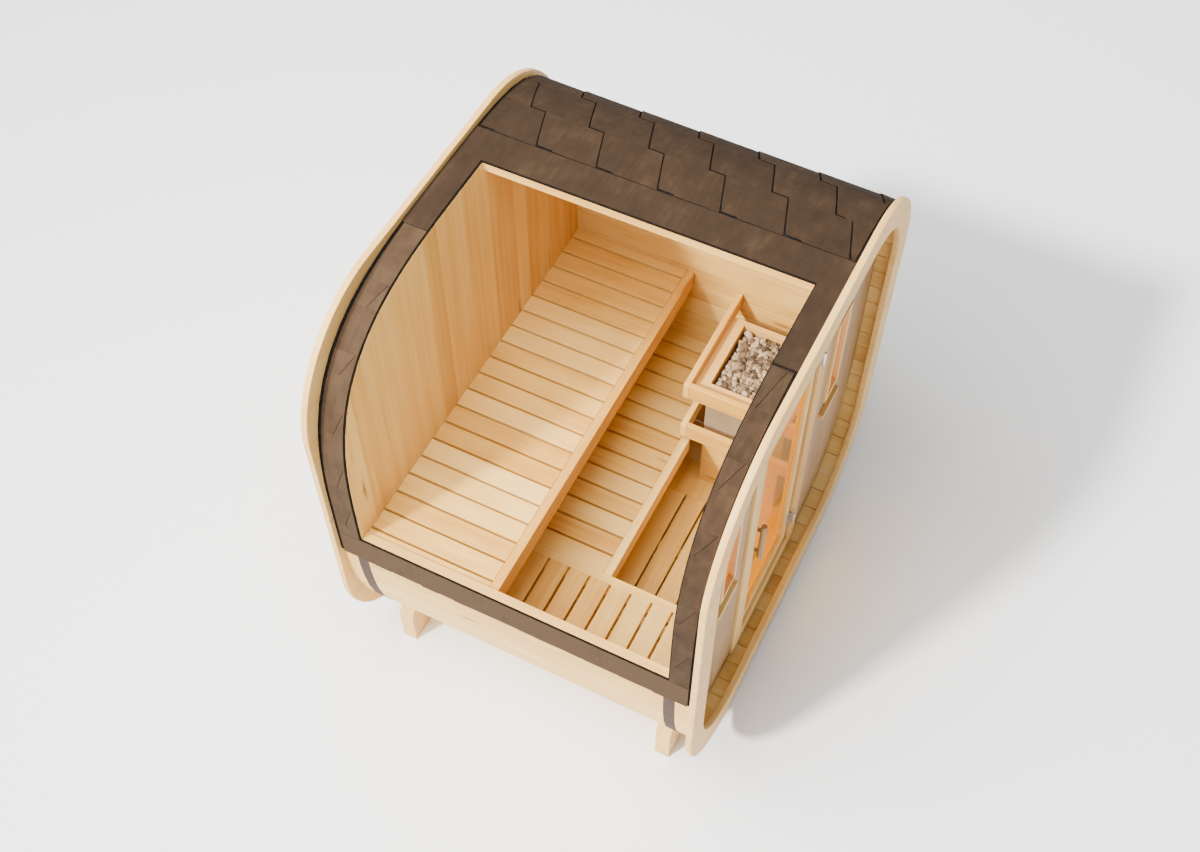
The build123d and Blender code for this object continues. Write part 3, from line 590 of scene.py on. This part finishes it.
# Duckboard: planed spruce slats across the floor, nailed down to three ledgers with open gaps. A
# closed board finishes it at each end.
duck_low, duck_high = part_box("duckboard")
DUCK_PITCH = 0.106
DUCK_HALF_GAP = 0.005
DUCK_BEVEL = 0.002
LEDGER = 0.045
slat_left, slat_right = -0.254, 0.314
duck_gaps = [-0.216 + DUCK_PITCH * k for k in range(-4, 4)]
slat_bottom = duck_high.z - SLAT
duck = [stick((slat_left, start, slat_bottom), (slat_right, end, duck_high.z), "X", DUCK_BEVEL)
        for start, end in slat_spans(duck_low.y, duck_gaps, duck_high.y, DUCK_HALF_GAP)]
for low_x, high_x in ((duck_low.x, slat_left), (slat_right, duck_high.x)):
    duck.append(stick((low_x, duck_low.y, slat_bottom), (high_x, duck_high.y, duck_high.z), "X", DUCK_BEVEL))
for x in (-0.32, 0.0, 0.36):
    duck.append(stick((x, duck_low.y, duck_low.z + 0.002), (x + LEDGER, duck_high.y, slat_bottom), "Y"))
make_piece("duckboard_slats", duck, bench_spruce, ["duckboard"])

# Heater: a folded sheet-steel case in warm grey on a timber base, open on top, with a planed frame
# round the stones.
heater_paint = metal_finish("heater_paint", (0.34, 0.25, 0.145), 0.45, 0.1, 0.12)
make_piece("heater_case", [dressed_copy("heater_body", "Z", 0.004)], heater_paint, ["heater_body"])
make_piece("heater_plinth", [dressed_copy("heater_base", "Y", 0.003)], bench_spruce, ["heater_base"])
low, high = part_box("stone_frame")
stone_low, stone_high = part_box("heater_stones")
rim = [stick((low.x, low.y, low.z), (stone_low.x, high.y, high.z), "Y"),
       stick((stone_high.x, low.y, low.z), (high.x, high.y, high.z), "Y"),
       stick((stone_low.x, low.y, low.z), (stone_high.x, stone_low.y, high.z), "X"),
       stick((stone_low.x, stone_high.y, low.z), (stone_high.x, high.y, high.z), "X")]
make_piece("stone_frame_wood", rim, pale_spruce, ["stone_frame"])

# Stones: split olivine heaped loose in the case, from pale grey to brown, no two alike. They fill it
# up to the wooden frame.
stone = Finish("heater_stone", Roughness=0.85)
stone_place = stone.add("ShaderNodeTexCoord", {}, {}, "Object")
stone_tone = stone.attribute("tone", "Fac")
speckle = stone.noise(stone_place, 90.0, 4.0, 0.7)
veins = stone.noise(stone_place, 24.0, 3.0, 0.6, 1.5)
stone.set("Base Color", stone.ramp(stone_tone * 0.6 + speckle * 0.2 + veins * 0.25,
                                   (0.2, (0.030, 0.018, 0.008)), (0.42, (0.14, 0.088, 0.043)),
                                   (0.62, (0.31, 0.21, 0.11)), (0.9, (0.48, 0.36, 0.22))))
stone.bump(speckle, 0.6, 0.002)
bpy.ops.mesh.primitive_uv_sphere_add(segments=8, ring_count=6, radius=1)
pebble = bpy.context.object
STONE_ROWS, STONE_COLUMNS, STONE_LAYERS = 16, 20, 2
STONE_SIZES = (0.010, 0.018)
STONE_MARGIN = 0.02
heap_x = stone_high.x - stone_low.x - 2 * STONE_MARGIN
heap_y = stone_high.y - stone_low.y - 2 * STONE_MARGIN
stones = []


def any_way():
    """A vector by chance, each of its numbers between -1 and 1."""
    return Vector((chance.uniform(-1, 1), chance.uniform(-1, 1), chance.uniform(-1, 1)))


for row in range(STONE_ROWS):
    for column in range(STONE_COLUMNS):
        for layer in range(STONE_LAYERS):
            copy = bpy.data.objects.new("stone", pebble.data.copy())
            bpy.context.collection.objects.link(copy)
            size = chance.uniform(*STONE_SIZES)
            lumps = [any_way().normalized() for k in range(7)]
            tone = chance.random()
            turn = chance.uniform(0, 6.28)
            spin = Matrix.Rotation(turn, 4, Vector((chance.uniform(-1, 1), chance.uniform(-1, 1), 0.4)))
            middle = Vector((
                stone_low.x + STONE_MARGIN + heap_x * (row + chance.uniform(0.2, 0.8)) / STONE_ROWS,
                stone_low.y + STONE_MARGIN + heap_y * (column + chance.uniform(0.2, 0.8)) / STONE_COLUMNS,
                stone_high.z - 0.028 + layer * 0.012 + chance.uniform(-0.006, 0.008)))
            for point in copy.data.vertices:
                reach = min(1.0, *(0.6 / max(point.co.dot(lump), 0.5) for lump in lumps))
                point.co = spin @ (point.co * size * reach * 1.25) + middle
            mark_grain(copy.data, tone)
            stones.append(copy)
bpy.data.objects.remove(pebble)
# The block under the loose stones takes the darkest stone tone, so the gaps between them show painted shade.
bed = stick((stone_low.x, stone_low.y, stone_low.z), (stone_high.x, stone_high.y, stone_high.z - 0.04), "X")
mark_grain(bed.data, 0.05)
make_piece("stone_heap", [bed] + stones, stone.material, ["heater_stones"])

# Heater guard: planed spruce boards on edge at two heights, from the right wall round to the door
# wall, butted where they meet.
GUARD = 0.028
for guard in ("guard_upper_rail", "guard_lower_rail"):
    low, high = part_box(guard)
    rails = [stick((low.x, high.y - GUARD, low.z), (high.x, high.y, high.z), "X", 0.003),
             stick((low.x, low.y, low.z), (low.x + GUARD, high.y - GUARD, high.z), "Y", 0.003)]
    make_piece(guard + "_boards", rails, bench_spruce, [guard])

# Straps: flat dark steel bands that draw the staves together. They run under the shingles and round
# the floor, one near each end of the cabin.
strap_metal = metal_finish("strap_metal", (0.050, 0.028, 0.020), 0.75, 0.0, 0.1)
for strap in ("front_strap", "back_strap"):
    make_piece(strap + "_steel", [dressed_copy(strap, "X", 0.0005)], strap_metal, [strap])

# Shingles: grit-faced bitumen tabs in courses over a black underlay. The slots step sideways from
# course to course, and a straight cap covers the crown from ring to ring. The solids' roof starts
# further from the crown than this one, so felt is laid under the cap up to where they begin.
felt = Finish("underlay_felt", Roughness=0.95, Specular_IOR_Level=0.02)
felt_cloud = felt.noise(felt.add("ShaderNodeTexCoord", {}, {}, "Object"), 40.0, 3.0)
felt.set("Base Color", felt.ramp(felt_cloud, (0.3, (0.006, 0.0045, 0.004)), (0.7, (0.014, 0.011, 0.009))))
felt.bump(felt_cloud, 0.4, 0.001)
for node in ("right_shingles", "left_shingles"):
    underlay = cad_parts[node]
    underlay.data.materials.clear()
    underlay.data.materials.append(felt.material)

grit = Finish("shingle_grit", Roughness=0.92, Specular_IOR_Level=0.12)
grit_place = grit.attribute("grain")
grit_tone = grit.attribute("tone", "Fac")
streak = grit.noise(grit.place(grit_place, (3.0, 14.0, 14.0)), 3.0, 4.0, 0.6)
cloud = grit.noise(grit_place, 9.0, 3.0)
specks = grit.noise(grit_place, 420.0, 2.0, 0.7)
grit_mix = streak * 0.27 + cloud * 0.4 + specks * 0.18 + (grit_tone - 0.5) * 0.5 + 0.05
grit.set("Base Color", grit.ramp(grit_mix, (0.25, (0.018, 0.0103, 0.0056)), (0.5, (0.031, 0.018, 0.0098)),
                                 (0.75, (0.064, 0.038, 0.020))))
grit.bump(specks * 0.7 + streak * 0.3, 0.7, 0.0012)

COURSE = 0.197
TAB_LENGTH = 0.262
SLANT = 0.063
STEP = 0.068
SLOT = 0.0065
TAB = 0.003
LIFT = 0.004
RING_GAP = 0.016
CAP_RIGHT = 0.334
CAP_LEFT = ROUND - 0.242
EDGE_Z = 0.88
EDGE_RIGHT = next(way[k] for k in range(TENTHS + 1) if hoop_point(90 - 0.1 * k).z < EDGE_Z)
EDGE_LEFT = ROUND - max(way[k] for k in range(1801, TENTHS + 1) if hoop_point(90 - 0.1 * k).z < EDGE_Z)
BARE = 0.005
ROOF_EDGE_ANGLE = 86.6
REACH = -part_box("front_ring")[1].y - RING_GAP
COLUMNS = (0.0, 0.37, 0.737, 0.743, 1.0)
sheets = {}


def lay(start, end, low, high, tone, lift=0.0, notch=0.0, rows=4, base=0.0004):
    """A sheet bent onto the skin between two distances round it. low and high tell where its ends lie at
    a share of the way; lift raises the far end, and notch holds that end's corner back from the start."""
    if rows not in sheets:
        bpy.ops.mesh.primitive_grid_add(x_subdivisions=rows, y_subdivisions=4, size=1)
        sheet = bpy.context.object
        bpy.ops.object.mode_set(mode="EDIT")
        bpy.ops.mesh.select_all(action="SELECT")
        bpy.ops.mesh.extrude_region_move(TRANSFORM_OT_translate={"value": (0, 0, 1)})
        bpy.ops.mesh.select_all(action="SELECT")
        bpy.ops.mesh.normals_make_consistent(inside=False)
        bpy.ops.object.mode_set(mode="OBJECT")
        sheets[rows] = sheet.data
        bpy.data.objects.remove(sheet)
    mesh = sheets[rows].copy()
    mesh.attributes.new("grain", "FLOAT_VECTOR", "POINT")
    mesh.attributes.new("tone", "FLOAT", "POINT")
    grain, tones = mesh.attributes["grain"].data, mesh.attributes["tone"].data
    shift = chance.uniform(0, 9)
    for point in mesh.vertices:
        along, column = point.co.x + 0.5, round((point.co.y + 0.5) * 4)
        across, height = COLUMNS[column], base + TAB * point.co.z + lift * COLUMNS[column]
        distance = start + (end - start) * along
        if column > 2:
            distance = max(distance, start + notch)
        y = low(along) + (high(along) - low(along)) * across
        point.co = hoop_point(angle_at(distance), -height) + Vector((0, y, 0))
        grain[point.index].vector = (distance + shift, y, shift)
        tones[point.index].value = tone
    sheet = bpy.data.objects.new("sheet", mesh)
    bpy.context.collection.objects.link(sheet)
    return sheet


def at(y):
    """A sheet's end that stays at one place along the cabin."""
    return lambda along: y


def course(start, end, first_y):
    """One row of tabs between two distances, cut off at both rings. Each slot slants towards the back
    wall on its way down, and each tab's far end stands up a little."""
    made = []
    slant = SLANT * abs(end - start) / COURSE

    def slot_at(y):
        return lambda along: min(max(y + slant * along, -REACH), REACH)

    place = first_y - TAB_LENGTH * math.ceil((first_y + REACH) / TAB_LENGTH + 0.5)
    while place < REACH:
        low, high = slot_at(place + SLOT / 2), slot_at(place + TAB_LENGTH - SLOT / 2)
        if max(high(0) - low(0), high(1) - low(1)) > 0.004:
            made.append(lay(start, end, low, high, chance.uniform(0.38, 0.56), LIFT, SLOT))
        place += TAB_LENGTH
    return made


right_tabs = []
start, number = CAP_RIGHT, 0
while start < EDGE_RIGHT - 0.02:
    end = min(start + COURSE, EDGE_RIGHT + 0.006)
    right_tabs += course(start, end, 0.015 + (SLANT + STEP) * (number % 2))
    start, number = end, number + 1
make_piece("right_shingle_tabs", right_tabs, grit.material, [])

roof_edge = distance_at(ROOF_EDGE_ANGLE)
underlay = [lay(cut_right, roof_edge, at(CUT_FRONT_Y), at(CUT_BACK_Y), 0.5, base=-depth)
            for depth in (0.0058, 0.0028)]
make_piece("roof_edge_underlay", underlay, felt.material, [])

# The left bands carry a few long joints each; they are given as distances down from the crown and places
# along the cabin, from the top end of the joint to its foot.
JOINT_GAP = 0.0011
SKIRT_TABS = 21
FRONT_JOINTS = ((0.256, -0.767, 0.433, -0.724), (0.633, -0.775, 0.753, -0.722), (0.899, -0.781, 1.002, -0.722),
                (1.245, -0.778, 1.365, -0.722), (1.56, -0.78, 1.69, -0.722))
BACK_JOINTS = ((0.516, 0.700, 0.623, 0.738), (0.802, 0.702, 0.892, 0.743), (1.045, 0.700, 1.151, 0.735),
               (1.331, 0.700, 1.465, 0.743), (1.61, 0.702, 1.74, 0.745))
skirt_top = ROUND - cut_left
left_tabs = []
# The left bands get lighter tones (0.68 front, 0.92 back, 0.06 more at their foot) than the right side's tabs:
# painted light, as these faces lie towards the key light on the left.
for tone, low_y, high_y, joints in ((0.68, -REACH, CUT_FRONT_Y - BARE, FRONT_JOINTS),
                                    (0.92, CUT_BACK_Y + BARE, REACH, BACK_JOINTS)):
    reached = ROUND - CAP_LEFT + 0.003
    for top, top_y, foot, foot_y in joints:
        if top - reached > 0.01:
            left_tabs.append(lay(-top + 0.0004, -reached, at(low_y), at(high_y), tone))
        reached = max(top, reached)

        def joint(off, top_y=top_y, foot_y=foot_y, low_y=low_y, high_y=high_y):
            return lambda along: min(max(foot_y + (top_y - foot_y) * along + off, low_y), high_y)

        left_tabs.append(lay(-foot, -reached, at(low_y), joint(-JOINT_GAP), tone + 0.02))
        left_tabs.append(lay(-foot, -reached, joint(JOINT_GAP), at(high_y), tone - 0.02))
        reached = foot
    left_tabs.append(lay(-skirt_top, -reached - 0.0004, at(low_y), at(high_y), tone + 0.06))
# The skirt tabs' tone of 1.1 makes them lighter still: painted light from the key light on the left.
for tab in range(SKIRT_TABS):
    low_y, high_y = (-REACH + 2 * REACH * (tab + side) / SKIRT_TABS for side in (0, 1))
    hang = 0.004 + 0.007 * chance.random()
    left_tabs.append(lay(-EDGE_LEFT - hang, -skirt_top - BARE, at(low_y), at(high_y), 1.1, 0.0006))
make_piece("left_shingle_tabs", left_tabs, grit.material, [])

ring_y = REACH + RING_GAP
CAP_BASE = 0.001
CAP_ROWS = 12
cap_edge = cut_right + BARE
cap = [lay(cap_edge, CAP_RIGHT - 0.005, at(-ring_y), at(ring_y), 0.5, base=CAP_BASE),
       lay(CAP_LEFT - ROUND + 0.008, cap_edge, at(-ring_y), at(CUT_FRONT_Y - BARE), 0.5,
           rows=CAP_ROWS, base=CAP_BASE),
       lay(CAP_LEFT - ROUND, cap_edge, at(CUT_BACK_Y + BARE), at(ring_y), 0.5,
           rows=CAP_ROWS, base=CAP_BASE)]
make_piece("crown_cap", cap, grit.material, [])

# Stage: a wide pale floor under a soft key light from the left and a large softbox above. An even
# white surround fills the shadows.
bpy.ops.mesh.primitive_plane_add(size=60, location=(0, 0, 0))
floor = bpy.context.object
floor.name = "studio_floor"
studio = Finish("studio_floor", Roughness=0.9, Base_Color=(0.97, 0.97, 0.97, 1))
floor.data.materials.append(studio.material)

world = bpy.data.worlds.new("studio")
bpy.context.scene.world = world
world.use_nodes = True
background = world.node_tree.nodes["Background"]
background.inputs["Color"].default_value = (1.0, 1.0, 1.0, 1)
background.inputs["Strength"].default_value = 0.6

sun_data = bpy.data.lights.new("key", "SUN")
sun_data.energy = 7.5
sun_data.angle = math.radians(6)
sun_data.color = (1.0, 0.98, 0.95)
sun = bpy.data.objects.new("key", sun_data)
bpy.context.collection.objects.link(sun)
sun.rotation_mode = "QUATERNION"
sun.rotation_quaternion = Vector((-1.0, 0.55, 0.95)).to_track_quat("Z", "Y")

softbox_data = bpy.data.lights.new("softbox", "AREA")
softbox_data.shape = "SQUARE"
softbox_data.size = 5.0
softbox_data.energy = 1150.0
softbox = bpy.data.objects.new("softbox", softbox_data)
bpy.context.collection.objects.link(softbox)
softbox.location = (-2.2, 1.2, 6.8)
softbox.rotation_mode = "QUATERNION"
softbox.rotation_quaternion = Vector((-2.2, 1.2, 5.6)).to_track_quat("Z", "Y")

# Camera: high over the left front corner, so that the benches show through the opening. Its place
# and lens were worked out from the cabin's own edges.
CAMERA_PLACE = Vector((-3.3805, -1.6169, 6.3156))
AZIMUTH, ELEVATION, ROLL = math.radians(-63.178), math.radians(54.7), math.radians(-0.096)
camera_data = bpy.data.cameras.new("camera")
camera_data.sensor_width = 36.0
camera_data.lens = 45.07
camera = bpy.data.objects.new("camera", camera_data)
bpy.context.collection.objects.link(camera)
camera.location = CAMERA_PLACE
backwards = Vector((math.sin(AZIMUTH) * math.cos(ELEVATION), -math.cos(AZIMUTH) * math.cos(ELEVATION),
                    math.sin(ELEVATION)))
camera.rotation_mode = "QUATERNION"
camera.rotation_quaternion = (-backwards).to_track_quat("-Z", "Y") @ Matrix.Rotation(ROLL, 3, "Z").to_quaternion()
camera_data.clip_end = 100
bpy.context.scene.camera = camera
